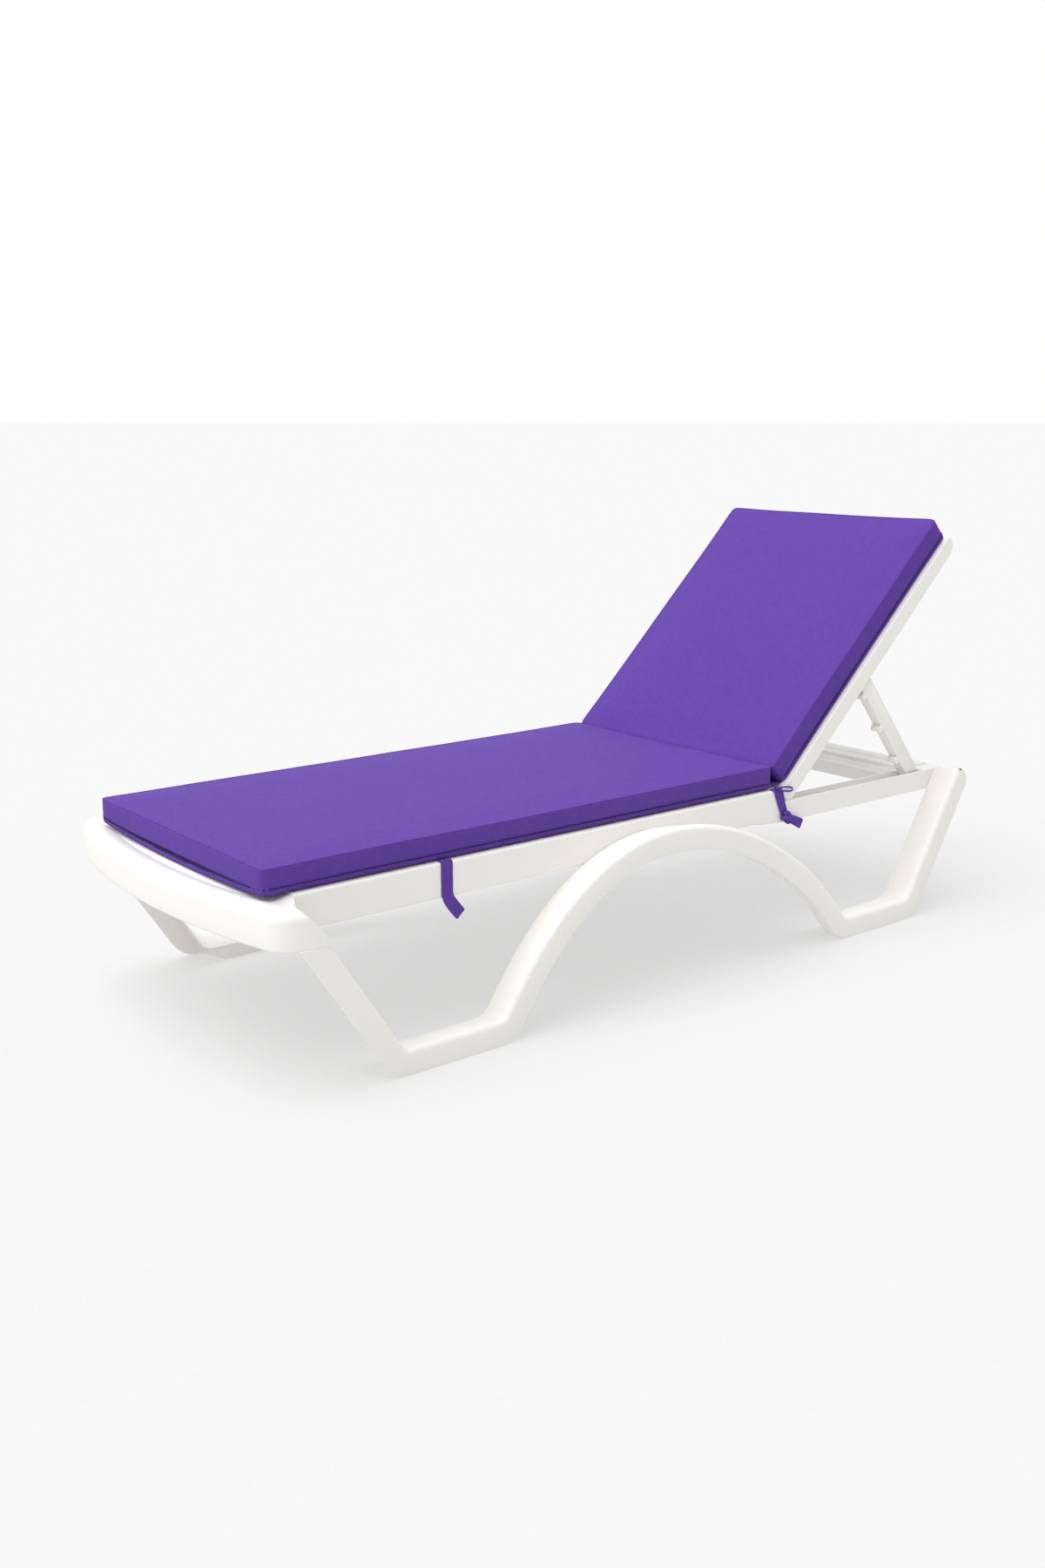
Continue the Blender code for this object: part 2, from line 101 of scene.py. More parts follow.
def mouldGroup():
    """Fine moulded grain and faint cloudiness for resin: a tint, a roughness and a height."""
    group, given, result = nodeGroup(
        "mouldGrain", [("Grain", "NodeSocketFloat", 420.0)],
        [("Tint", "NodeSocketFloat"), ("Roughness", "NodeSocketFloat"),
         ("Height", "NodeSocketFloat")])
    place = addNode(group, "ShaderNodeTexCoord").outputs["Object"]
    fine = addNode(group, "ShaderNodeTexNoise", [("Vector", place)], Detail=3.0, Roughness=0.6)
    group.links.new(given.outputs["Grain"], fine.inputs["Scale"])
    cloud = addNode(group, "ShaderNodeTexNoise", [("Vector", place)], Scale=5.0, Detail=4.0)
    tint = addNode(group, "ShaderNodeMapRange", [("Value", cloud.outputs["Fac"])],
                   From_Min=0.3, From_Max=0.7, To_Min=0.985, To_Max=1.01)
    rough = addNode(group, "ShaderNodeMapRange", [("Value", cloud.outputs["Fac"])],
                    From_Min=0.3, From_Max=0.7, To_Min=0.36, To_Max=0.46)
    group.links.new(tint.outputs[0], result.inputs["Tint"])
    group.links.new(rough.outputs[0], result.inputs["Roughness"])
    group.links.new(fine.outputs["Fac"], result.inputs["Height"])
    return group


def weaveGroup():
    """Plain weave from object coordinates, blended over the three faces: a tint and a height."""
    group, given, result = nodeGroup(
        "plainWeave", [("Threads", "NodeSocketFloat", 900.0)],
        [("Tint", "NodeSocketFloat"), ("Height", "NodeSocketFloat")])
    place = addNode(group, "ShaderNodeTexCoord").outputs["Object"]
    scaled = addNode(group, "ShaderNodeVectorMath", [(0, place)], operation="MULTIPLY")
    group.links.new(given.outputs["Threads"], scaled.inputs[1])
    waves = []
    split = addNode(group, "ShaderNodeSeparateXYZ", [("Vector", scaled.outputs[0])])
    for axis in "XYZ":
        waves.append(addNode(group, "ShaderNodeMath", [(0, split.outputs[axis])],
                             operation="SINE").outputs[0])
    pair = addNode(group, "ShaderNodeMath", [(0, waves[0]), (1, waves[1])], operation="MULTIPLY")
    both = addNode(group, "ShaderNodeMath", [(0, waves[1]), (1, waves[2])], operation="MULTIPLY")
    cross = addNode(group, "ShaderNodeMath", [(0, waves[0]), (1, waves[2])], operation="MULTIPLY")
    mixed = addNode(group, "ShaderNodeMath", [(0, pair.outputs[0]), (1, both.outputs[0])],
                    operation="ADD")
    mixed = addNode(group, "ShaderNodeMath", [(0, mixed.outputs[0]), (1, cross.outputs[0])],
                    operation="ADD")
    slub = addNode(group, "ShaderNodeTexNoise", [("Vector", place)], Scale=260.0, Detail=5.0,
                   Roughness=0.7)
    height = addNode(group, "ShaderNodeMath", [(0, mixed.outputs[0]), (1, slub.outputs["Fac"])],
                     operation="MULTIPLY_ADD")
    height.inputs[1].default_value = 0.2
    group.links.new(slub.outputs["Fac"], height.inputs[2])
    blotch = addNode(group, "ShaderNodeTexNoise", [("Vector", place)], Scale=70.0, Detail=6.0,
                     Roughness=0.65)
    tint = addNode(group, "ShaderNodeMapRange", [("Value", blotch.outputs["Fac"])],
                   From_Min=0.3, From_Max=0.7, To_Min=0.93, To_Max=1.07)
    group.links.new(tint.outputs[0], result.inputs["Tint"])
    group.links.new(height.outputs[0], result.inputs["Height"])
    return group


def tinted(tree, colour, tint):
    """The colour times a tint value."""
    mix = addNode(tree, "ShaderNodeVectorMath", [(1, tint)], operation="MULTIPLY")
    mix.inputs[0].default_value = colour
    return mix.outputs[0]


def makeMaterial(name, colour, group, bump, distance, fixed, roughness=None):
    """A Principled material whose tint, height and perhaps roughness come from the group."""
    made = bpy.data.materials.new(name)
    made.use_nodes = True
    tree = made.node_tree
    shader = tree.nodes["Principled BSDF"]
    shared = addNode(tree, "ShaderNodeGroup")
    shared.node_tree = group
    tree.links.new(tinted(tree, colour, shared.outputs["Tint"]), shader.inputs["Base Color"])
    lift = addNode(tree, "ShaderNodeBump", [("Height", shared.outputs["Height"])],
                   Strength=bump, Distance=distance)
    tree.links.new(lift.outputs[0], shader.inputs["Normal"])
    if roughness is None:
        tree.links.new(shared.outputs["Roughness"], shader.inputs["Roughness"])
    else:
        shader.inputs["Roughness"].default_value = roughness
    for label, value in fixed.items():
        shader.inputs[label].default_value = value
    return made


mould = mouldGroup()
weave = weaveGroup()
resin = makeMaterial("resin", (0.872, 0.855, 0.826), mould, 0.05, 0.0004,
                     {"Specular IOR Level": 0.45})
pinMetal = makeMaterial("pinMetal", (0.55, 0.55, 0.56), mould, 0.05, 0.0003, {"Metallic": 1.0})
fabricFixed = {"Sheen Weight": 0.05, "Sheen Roughness": 0.45, "Specular IOR Level": 0.20,
               "Sheen Tint": (0.62, 0.45, 1.0, 1)}
fabric = makeMaterial("fabric", (0.104, 0.044, 0.306), weave, 0.35, 0.0006, fabricFixed, 0.82)
thread = makeMaterial("thread", (0.030, 0.014, 0.085), weave, 0.2, 0.0003,
                      {"Specular IOR Level": 0.2}, 0.9)
print("materials made")


# Meshes

# How far a cutting tool stands clear of the piece that it cuts.
clearance = 0.02


def keepObject(name, bm, material, matrix=None, smooth=True, sharpen=35):
    """The bmesh as an object at the origin, moved in the mesh itself by the matrix."""
    if matrix is not None:
        bm.transform(matrix)
    bmesh.ops.recalc_face_normals(bm, faces=bm.faces)
    mesh = bpy.data.meshes.new(name)
    bm.to_mesh(mesh)
    bm.free()
    mesh.materials.append(material)
    made = bpy.data.objects.new(name, mesh)
    bpy.context.scene.collection.objects.link(made)
    if smooth:
        mesh.shade_smooth()
        mesh.set_sharp_from_angle(angle=radians(sharpen))
    return made


def bakeModifiers(piece):
    """Applies every modifier to the piece's mesh."""
    graph = bpy.context.evaluated_depsgraph_get()
    mesh = bpy.data.meshes.new_from_object(piece.evaluated_get(graph))
    piece.modifiers.clear()
    piece.data = mesh
    return piece


def boolean(piece, tool, how):
    """Joins or cuts with the tool, which is then removed."""
    step = piece.modifiers.new(how, "BOOLEAN")
    step.operation = how
    step.object = tool
    step.solver = "EXACT"
    bakeModifiers(piece)
    bpy.data.objects.remove(tool)
    return piece


def softenEdges(piece, width, segments=3, angle=30):
    """Rounds the piece's edges, and shades it so that its flat faces stay flat."""
    step = piece.modifiers.new("soften", "BEVEL")
    step.width = width
    step.segments = segments
    step.limit_method = "ANGLE"
    step.angle_limit = radians(angle)
    step.harden_normals = False
    step.miter_outer = "MITER_ARC"
    bakeModifiers(piece)
    piece.data.shade_smooth()
    weighted = piece.modifiers.new("shade", "WEIGHTED_NORMAL")
    weighted.keep_sharp = False
    bakeModifiers(piece)
    return piece


def skinRings(rings, capped=True):
    """Faces between equal rings of points, capped at both ends."""
    bm = bmesh.new()
    loops = [[bm.verts.new(p) for p in ring] for ring in rings]
    count = len(loops[0])
    for low, high in zip(loops, loops[1:]):
        for i in range(count):
            j = (i + 1) % count
            bm.faces.new((low[i], low[j], high[j], high[i]))
    if capped:
        bm.faces.new(loops[0])
        bm.faces.new(loops[-1])
    return bm


def prismY(outline, low, high):
    return skinRings([[(x, y, z) for x, z in outline] for y in (low, high)])


def boxOf(x, y, z):
    return prismY([(x[0], z[0]), (x[1], z[0]), (x[1], z[1]), (x[0], z[1])], *sorted(y))


def sided(side, near, far):
    return tuple(sorted((side * near, side * far)))


def filletPath(points, radii, steps=14):
    """The polyline with each inner corner rounded to its radius."""
    path = [Vector(points[0])]
    for before, corner, after, radius in zip(points, points[1:], points[2:], radii):
        corner = Vector(corner)
        back = (Vector(before) - corner).normalized()
        ahead = (Vector(after) - corner).normalized()
        half = back.angle(ahead) / 2
        reach = radius / (sin(half) / cos(half))
        start, end = corner + back * reach, corner + ahead * reach
        middle = corner + (back + ahead).normalized() * (radius / sin(half))
        for k in range(steps + 1):
            chord = start.lerp(end, k / steps) - middle
            path.append(middle + chord.normalized() * radius)
    return path + [Vector(points[-1])]


def bezierPath(a, b, c, d, steps):
    points = []
    for k in range(steps + 1):
        t = k / steps
        u = 1 - t
        points.append(Vector(a) * u**3 + Vector(b) * 3 * u * u * t
                      + Vector(c) * 3 * u * t * t + Vector(d) * t**3)
    return points


def pathNormals(path):
    """Unit normals of a planar path, to the left of its direction."""
    found = []
    for i, _ in enumerate(path):
        step = path[min(i + 1, len(path) - 1)] - path[max(i - 1, 0)]
        step.normalize()
        found.append(Vector((-step.y, step.x)))
    return found


def roundCorner(centre, radius, start, end, steps=5):
    """Points on an arc between two angles in degrees."""
    angles = [radians(start + (end - start) * k / steps) for k in range(steps + 1)]
    return [(centre[0] + radius * cos(a), centre[1] + radius * sin(a)) for a in angles]


# Leg frames and foot-end panel, one moulding

leg = {"band": 0.046, "outer": 0.380, "inner": 0.3085, "windowDraft": 0.015, "wall": 0.005,
       "crest": 0.011, "edge": 0.0022, "edgePoints": 6, "topCut": 0.2560, "step": 0.008,
       "top": (0.0345, 0.2735), "frontToe": (0.197, 0.023), "frontHeel": (0.425, 0.023),
       "archStart": (0.4565, 0.071), "archPeak": (0.815, 0.2965), "archEnd": (1.268, 0.0605),
       "rearToe": (1.299, 0.023), "rearHeel": (1.522, 0.023), "end": (1.6424, 0.2300),
       "rearTop": (0.2985, 0.3110), "rearRound": (0.017, 0.029), "rearDrop": 0.040,
       "rearSteps": 12, "topInset": 0.06, "topBevel": 0.0012,
       "edgeDepths": [(0.222, 0.005), (0.250, 0.0705), (0.395, 0.0705), (0.425, 0.029),
                      (1.320, 0.029), (1.345, 0.0705), (1.490, 0.0705), (1.520, 0.012),
                      (1.600, 0.012), (1.640, 0.0705)]}


def divided(path, step):
    """The path with its straight runs divided."""
    points = [path[0]]
    for a, b in zip(path, path[1:]):
        count = max(1, round((b - a).length / step))
        points += [a.lerp(b, k / count) for k in range(1, count + 1)]
    return points


def legLine():
    peak = leg["archPeak"]
    arch = bezierPath(leg["archStart"], (0.544, 0.205), (0.662, peak[1]), peak, 34)
    arch += bezierPath(peak, (0.990, peak[1]), (1.176, 0.1775), leg["archEnd"], 38)[1:]
    front = filletPath([leg["top"], leg["frontToe"], leg["frontHeel"], leg["archStart"]],
                       (0.040, 0.045))
    rear = filletPath([leg["archEnd"], leg["rearToe"], leg["rearHeel"], leg["end"]],
                      (0.045, 0.050))
    step = leg["step"]
    line = front[:1] + divided(front[1:], step)[:-1] + arch + divided(rear, step)[1:]
    return [Vector((alongX(p.x), p.y)) for p in line]


def eased(value, low, high):
    """0 up to low, 1 from high, and a smooth rise between them."""
    t = min(1.0, max(0.0, (value - low) / (high - low)))
    return t * t * (3 - 2 * t)


def legSection(point):
    """(offset across the band, half width): an outside plate with a flange along the window.

    The outer edge, whose points come first, is as deep as edgeDepths says."""
    half, out, lean, wall = leg["band"] / 2, leg["outer"], leg["windowDraft"], leg["wall"]
    inner, edge, crest = leg["inner"], leg["edge"], leg["crest"]
    depths = leg["edgeDepths"]
    depth = depths[0][1]
    for (start, low), (end, high) in zip(depths, depths[1:]):
        depth += (high - low) * eased(point.x, alongX(start), alongX(end))
    share = depth / depths[1][1]
    section = [(-half + 0.0006, out - depth), (-half, out - depth + 0.0006)]
    section += roundCorner((-half + edge, out - edge), edge, 180, 90, 3)
    section += roundCorner((half - crest, out - crest), crest, 90, 4, 7)
    section += [(half - lean * 0.80, inner + 0.016), (half - lean * 0.93, inner + 0.005),
                (half - lean - 0.001, inner), (half - lean - wall, inner),
                (half - lean * share - wall, out - depth)]
    return section


def rearTop(ring, up, share):
    """The rear leg's last ring carried up into its rounded top, which is whole at share 1."""
    lean = asin(up.x)
    turn = share * (pi / 2 + lean) - lean
    (topIn, topOut), (roundIn, roundOut) = leg["rearTop"], leg["rearRound"]
    raised = []
    for i, point in enumerate(ring):
        outward = (abs(point.y) - leg["inner"]) / (leg["outer"] - leg["inner"])
        top = topIn + (topOut - topIn) * outward
        radius = roundIn + (roundOut - roundIn) * outward
        x = point.x + (top - point.z) * up.x / up.y
        if i < leg["edgePoints"]:
            x += radius * cos(turn) - radius * (1 + up.x) / up.y
            z = top - radius + radius * sin(turn)
        else:
            z = top - leg["rearDrop"] * (1 - share)
            x -= leg["rearDrop"] * (1 - share) * up.x / up.y
        raised.append(Vector((x, point.y, z)))
    return raised


def legFrame(side, name):
    line = legLine()
    rings = []
    for p, n in zip(line, pathNormals(line)):
        section = legSection(p)
        rings.append([Vector((p.x + n.x * off, side * y, p.y + n.y * off)) for off, y in section])
    down = line[1] - line[0]
    for point in rings[0]:
        slide = (leg["topCut"] - point.z) / down.y
        point.x += down.x * slide
        point.z = leg["topCut"]
    up = (line[-1] - line[-2]).normalized()
    last, steps = rings[-1], leg["rearSteps"]
    rings += [rearTop(last, up, k / steps) for k in range(steps + 1)]
    middle = sum(rings[-1], Vector()) / len(rings[-1])
    rings.append([point.lerp(middle, leg["topInset"]) for point in rings[-1]])
    for point in rings[-2]:
        point.z -= leg["topBevel"]
    return keepObject(name, skinRings(rings), resin)


panel = {"front": -0.058, "bow": 0.040, "cornerY": 0.338, "bottom": 0.2545, "crest": 0.3215,
         "round": 0.020, "plate": 0.3225, "plateHalf": 0.307, "plateEnd": 0.0508,
         "dish": 0.0035, "deepDish": 0.0085, "sideTop": 0.024, "sideFoot": 0.0745, "wall": 0.005}


def panelLine():
    corner = (panel["front"] + panel["bow"], panel["cornerY"])
    slope = Vector((2 * panel["bow"] / panel["cornerY"], 1)).normalized()
    side = bezierPath((panel["plateEnd"], leg["outer"]), (0.012, leg["outer"]),
                      (corner[0] + slope.x * 0.030, corner[1] + slope.y * 0.030), corner, 26)
    bow = []
    for k in range(1, 25):
        y = panel["cornerY"] * (1 - k / 24)
        bow.append(Vector((panel["front"] + panel["bow"] * (y / panel["cornerY"]) ** 2, y)))
    half = side + bow
    other = [Vector((p.x, -p.y)) for p in reversed(half[:-1])]
    return [Vector((alongX(p.x), p.y)) for p in half + other]


def sideEnd(z):
    """Station where the panel's side ends at height z, a curve that runs on into the leg."""
    share = max(0.0, min(1.0, (z - panel["bottom"]) / (panel["crest"] - panel["bottom"])))
    return panel["sideFoot"] + (panel["sideTop"] - panel["sideFoot"]) * share ** 1.3


def footPanel(name):
    """Apron and dished top plate in one skin, swept round the bowed end."""
    line = panelLine()
    crest, bottom, wall, r = panel["crest"], panel["bottom"], panel["wall"], panel["round"]
    apron = [(wall, bottom), (0.0020, bottom), (0.0004, bottom + 0.0012), (0.0, bottom + 0.004),
             (0.0, bottom + 0.020)]
    apron += [(r - r * cos(a), crest - r + r * sin(a))
              for a in [radians(90 * k / 9) for k in range(10)]]
    rings = []
    for p, n in zip(line, pathNormals(line)):
        ring = [Vector((p.x + n.x * off, p.y + n.y * off, z)) for off, z in apron]
        rim = Vector((min(p.x + n.x * r, alongX(panel["sideTop"])), p.y + n.y * r, crest))
        goalY = max(-panel["plateHalf"], min(panel["plateHalf"], p.y))
        goal = Vector((alongX(panel["plateEnd"]), goalY, panel["plate"]))
        inward = max(0.0, 1 - (p.y / panel["cornerY"]) ** 2)
        for k in range(1, 9):
            spot = rim.lerp(goal, k / 8)
            spot.z -= (panel["dish"] + panel["deepDish"] * inward) * sin(pi * (k / 8)) ** 2
            ring.append(spot)
        ring += [ring[-1] - Vector((0, 0, wall)), rim - Vector((0, 0, wall)),
                 Vector((p.x + n.x * wall, p.y + n.y * wall, crest - r))]
        rings.append(ring)
    outside = len(apron)
    for ring in rings:
        for point in ring[:outside] + ring[-1:]:
            point.x = min(point.x, alongX(sideEnd(point.z)))
    for ring in (rings[0], rings[-1]):
        for point in ring[:outside]:
            point.x = alongX(sideEnd(point.z))
    return keepObject(name, skinRings(rings), resin, sharpen=50)


shell = footPanel("foot_end_shell")
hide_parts("foot_end_panel")
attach(shell, "base")
for side, word in sides:
    piece = legFrame(side, f"leg_shell_{word}")
    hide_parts(f"leg_frame_{word}")
    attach(piece, "base")
print("leg frames and panel made")


# Rails and head-end deck

rail = {"out": 0.308, "in": 0.270, "seat": (0.0500, 1.177), "seatLow": 0.262, "deckTop": 0.325,
        "rear": (1.172, 1.699), "rearLow": 0.2555, "rearTop": 0.298, "slot": (1.196, 1.640),
        "slotOut": 0.3035, "slotIn": 0.2725, "rearIn": 0.268}


def seatRail(side, name):
    low, top = rail["seatLow"], rail["deckTop"]
    start, end = rail["seat"]
    outline = [(start, low), (1.100, low), (1.130, low - 0.004), (end, low - 0.008), (end, top),
               (start, top)]
    piece = keepObject(name, prismY([(alongX(s), z) for s, z in outline],
                                    *sided(side, rail["in"], rail["out"])), resin)
    return softenEdges(piece, 0.0045)


def rearRail(side, name):
    xs = [alongX(s) for s in rail["rear"]]
    piece = keepObject(name, boxOf(xs, sided(side, rail["rearIn"], rail["out"]),
                                   (rail["rearLow"], rail["rearTop"])), resin)
    slot = keepObject("slot", boxOf([alongX(s) for s in rail["slot"]],
                                    sided(side, rail["slotIn"], rail["slotOut"]),
                                    (rail["rearLow"] - clearance, rail["rearTop"] + clearance)),
                      resin)
    boolean(piece, slot, "DIFFERENCE")
    return softenEdges(piece, 0.0012, 2)


for side, word in sides:
    for make, name, node in ((seatRail, "seat_rail_shell", "seat_rail"),
                             (rearRail, "rear_rail_shell", "rear_rail")):
        piece = make(side, f"{name}_{word}")
        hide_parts(f"{node}_{word}")
        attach(piece, "base")

deck = {"front": 1.560, "step": 1.614, "back": 1.706, "low": 0.2925, "high": 0.300,
        "under": 0.250, "frontUnder": 0.266, "wall": 0.005, "round": 0.009,
        "lowGrooves": (1.580, 1.592), "highGrooves": (1.650, 1.662),
        "groove": ((0.0, 0.0), (0.0012, 0.0018), (0.0036, 0.0018), (0.0048, 0.0))}


def headDeck(name):
    """Two tiers with two grooves in each, hollow below."""
    front, step, back, under = deck["front"], deck["step"], deck["back"], deck["under"]
    low, high, wall, r = deck["low"], deck["high"], deck["wall"], deck["round"]
    outline = [(front, deck["frontUnder"]), (front, low - 0.003), (front + 0.003, low)]
    outline += [(start + along, low - down) for start in deck["lowGrooves"]
                for along, down in deck["groove"]]
    outline += [(step - 0.002, low), (step + 0.002, low + 0.002), (step + 0.004, high - 0.002),
                (step + 0.007, high)]
    outline += [(start + along, high - down) for start in deck["highGrooves"]
                for along, down in deck["groove"]]
    outline += roundCorner((back - r, high - r), r, 90, 0, 6)
    outline += [(back, under), (back - wall, under), (back - wall, high - wall - 0.004),
                (step + 0.006, high - wall - 0.001), (step + 0.002, low - wall),
                (front + wall, low - wall), (front + wall, deck["frontUnder"])]
    half = rail["rearIn"]
    return keepObject(name, prismY([(alongX(s), z) for s, z in outline], -half, half), resin,
                      sharpen=30)


piece = headDeck("head_deck_shell")
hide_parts("head_end_deck")
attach(piece, "base")
print("rails and deck made")


# Backrest frame, modelled flat with the hinge at the origin, then turned up

back = {"recline": radians(44.2), "hinge": (1.203, 0.3155), "depth": 0.034, "out": 0.305,
        "in": 0.271, "wall": 0.0036, "end": 0.686, "hollow": (0.045, 0.640), "corner": 0.028,
        "smallCorner": 0.006}
hingePoint = Vector((alongX(back["hinge"][0]), 0, back["hinge"][1]))
backMatrix = Matrix.Translation(hingePoint) @ Matrix.Rotation(-back["recline"], 4, "Y")


def stileOutline():
    half, end, r, small = back["depth"] / 2, back["end"], back["corner"], back["smallCorner"]
    outline = roundCorner((0, 0), half, 90, 270, 14)
    outline += roundCorner((end - r, -half + r), r, 270, 360, 10)
    outline += roundCorner((end - small, half - small), small, 0, 90, 3)
    return outline


def backStile(side, name):
    piece = keepObject(name, prismY(stileOutline(), *sided(side, back["in"], back["out"])), resin)
    half, wall = back["depth"] / 2, back["wall"]
    hollow = keepObject("hollow", boxOf(back["hollow"], sided(side, back["in"] + wall,
                        back["out"] - wall), (-half - clearance, half - wall)), resin)
    boolean(piece, hollow, "DIFFERENCE")
    softenEdges(piece, 0.0016, 3)
    piece.data.transform(backMatrix)
    return piece


for side, word in sides:
    piece = backStile(side, f"stile_shell_{word}")
    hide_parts(f"backrest_stile_{word}")
    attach(piece, "backrest")


# Stays, modelled along +X from their pivots with the pegs below, then turned down

stay = {"at": 0.3048, "drop": 0.011, "angle": radians(51.3), "length": 0.300, "width": 0.034,
        "out": 0.300, "in": 0.276, "pegFirst": 0.030, "pegPitch": 0.098, "pegOffset": 0.0205,
        "pegRadius": 0.0076, "pegEdge": 0.0014, "pegGap": 0.0006, "corner": 0.006}
pivotPoint = backMatrix @ Vector((stay["at"], 0, -stay["drop"]))
stayMatrix = Matrix.Translation(pivotPoint) @ Matrix.Rotation(stay["angle"], 4, "Y")


def stayBar(side, name):
    half, length, r = stay["width"] / 2, stay["length"], stay["corner"]
    outline = roundCorner((0, 0), half, 270, 90, 14)
    outline += roundCorner((length - r, half - r), r, 90, 0, 3)
    outline += roundCorner((length - r, -half + r), r, 0, -90, 3)
    piece = keepObject(name, prismY(outline, *sided(side, stay["in"], stay["out"])), resin)
    softenEdges(piece, 0.0022, 3, 50)
    bm = bmesh.new()
    bm.from_mesh(piece.data)
    middle = side * (stay["in"] + stay["out"]) / 2
    depth = stay["out"] - stay["in"] - stay["pegGap"]
    for k in range(3):
        at = stay["pegFirst"] + k * stay["pegPitch"]
        place = Matrix.Translation((at, middle, -stay["pegOffset"]))
        made = bmesh.ops.create_cone(bm, cap_ends=True, segments=36, radius1=stay["pegRadius"],
                                     radius2=stay["pegRadius"], depth=depth,
                                     matrix=place @ Matrix.Rotation(pi / 2, 4, "X"))
        rims = [e for e in {e for v in made["verts"] for e in v.link_edges}
                if abs(e.calc_face_angle(0)) > 1]
        bmesh.ops.bevel(bm, geom=rims, offset=stay["pegEdge"], segments=2, affect="EDGES", profile=0.5,
                        material=-1)
    bm.to_mesh(piece.data)
    bm.free()
    piece.data.transform(stayMatrix)
    piece.data.shade_smooth()
    piece.data.set_sharp_from_angle(angle=radians(40))
    return piece


for side, word in sides:
    piece = stayBar(side, f"stay_shell_{word}")
    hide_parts(f"stay_{word}")
    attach(piece, "stay")
print("backrest frame and stays made")


# Hidden CAD pieces keep their shapes and get the same finishes

for node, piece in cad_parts.items():
    finish = pinMetal if "_pin_" in node else resin
    if "cushion" in node or "tie" in node:
        continue
    piece.data.materials.clear()
    piece.data.materials.append(finish)


# Cushions

seatPad = {"length": 1.158, "half": 0.300, "thick": 0.0425, "base": 0.3287, "sag": 0.010}
backPad = {"length": 0.680, "half": 0.2955, "thick": 0.0495, "base": 0.0178, "sag": 0.0}
stuffing = {"corner": 0.010, "seam": 0.0090, "rows": (0.017, 0.026, 0.034), "rim": 0.0035,
            "cells": 0.0125, "shrink": 0.0025, "frames": 20, "pressure": 4.0, "stretch": 30,
            "bend": 2, "cap": 0.0060, "ripple": 0.0012, "sagReach": 0.05, "sagForward": 0.6}


def padShell(pad):
    """A closed box of even quads, x from 0, with rounded upright corners and seam rows."""
    shrink, cells, rim = stuffing["shrink"], stuffing["cells"], stuffing["rim"]
    length, width = pad["length"] - 2 * shrink, 2 * (pad["half"] - shrink)
    bm = bmesh.new()
    bmesh.ops.create_grid(bm, x_segments=round(length / cells),
                          y_segments=round(width / cells), size=0.5)
    bmesh.ops.scale(bm, vec=(length, width, 1), verts=bm.verts)
    grown = bmesh.ops.extrude_face_region(bm, geom=list(bm.faces))
    top = [v for v in grown["geom"] if isinstance(v, bmesh.types.BMVert)]
    bmesh.ops.translate(bm, vec=(0, 0, pad["thick"]), verts=top)
    for z in (rim, stuffing["seam"], *stuffing["rows"], pad["thick"] - rim):
        bmesh.ops.bisect_plane(bm, geom=list(bm.verts) + list(bm.edges) + list(bm.faces),
                               plane_co=(0, 0, z), plane_no=(0, 0, 1))
    r = stuffing["corner"]
    for v in bm.verts:
        dx, dy = abs(v.co.x) - (length / 2 - r), abs(v.co.y) - (width / 2 - r)
        if dx > 0 and dy > 0:
            scale = max(dx, dy) / hypot(dx, dy)
            v.co.x = (1 if v.co.x > 0 else -1) * (length / 2 - r + dx * scale)
            v.co.y = (1 if v.co.y > 0 else -1) * (width / 2 - r + dy * scale)
    bmesh.ops.translate(bm, vec=(pad["length"] / 2, 0, 0), verts=bm.verts)
    return bm


def inflate(piece):
    """Swells the pad by cloth pressure, capped, with its underside kept flat."""
    frames = stuffing["frames"]
    rest = [v.co.copy() for v in piece.data.vertices]
    cloth = piece.modifiers.new("cloth", "CLOTH")
    cloth.settings.quality = 5
    cloth.settings.use_pressure = True
    cloth.settings.uniform_pressure_force = stuffing["pressure"]
    cloth.settings.tension_stiffness = stuffing["stretch"]
    cloth.settings.compression_stiffness = stuffing["stretch"]
    cloth.settings.bending_stiffness = stuffing["bend"]
    cloth.settings.effector_weights.gravity = 0
    cloth.point_cache.frame_start = 1
    cloth.point_cache.frame_end = frames
    for f in range(1, frames + 1):
        bpy.context.scene.frame_set(f)
    graph = bpy.context.evaluated_depsgraph_get()
    moved = [v.co.copy() for v in piece.evaluated_get(graph).data.vertices]
    piece.modifiers.clear()
    bpy.context.scene.frame_set(1)
    for v, start, end in zip(piece.data.vertices, rest, moved):
        shift = end - start
        if shift.length > stuffing["cap"]:
            shift *= stuffing["cap"] / shift.length
        if start.z < 0.001:
            shift.z = 0
        shift.z = max(shift.z, -start.z)
        v.co = start + shift


def shapePad(pad, piece):
    """Fitted to its nominal corners, with gentle unevenness and a sag along the foot edge."""
    length, half, thick = pad["length"], pad["half"], pad["thick"]
    low = min(v.co.x for v in piece.data.vertices)
    high = max(v.co.x for v in piece.data.vertices)
    wide = max(abs(v.co.y) for v in piece.data.vertices)
    for v in piece.data.vertices:
        v.co.x = (v.co.x - low) * length / (high - low)
        v.co.y *= half / wide
        up = max(0.0, min(1.0, v.co.z / thick))
        u = max(0.0, min(1.0, v.co.x / length))
        w = max(-1.0, min(1.0, v.co.y / half))
        ripple = noise(Vector((v.co.x * 5, v.co.y * 6, 3.0 + length)))
        v.co.z += up * stuffing["ripple"] * ripple
        hang = pad["sag"] * (1 - w * w) * max(0.0, 1 - u * length / stuffing["sagReach"])
        v.co.z -= hang * (1 - up) ** 0.5
        v.co.x -= stuffing["sagForward"] * hang * (1 - up)


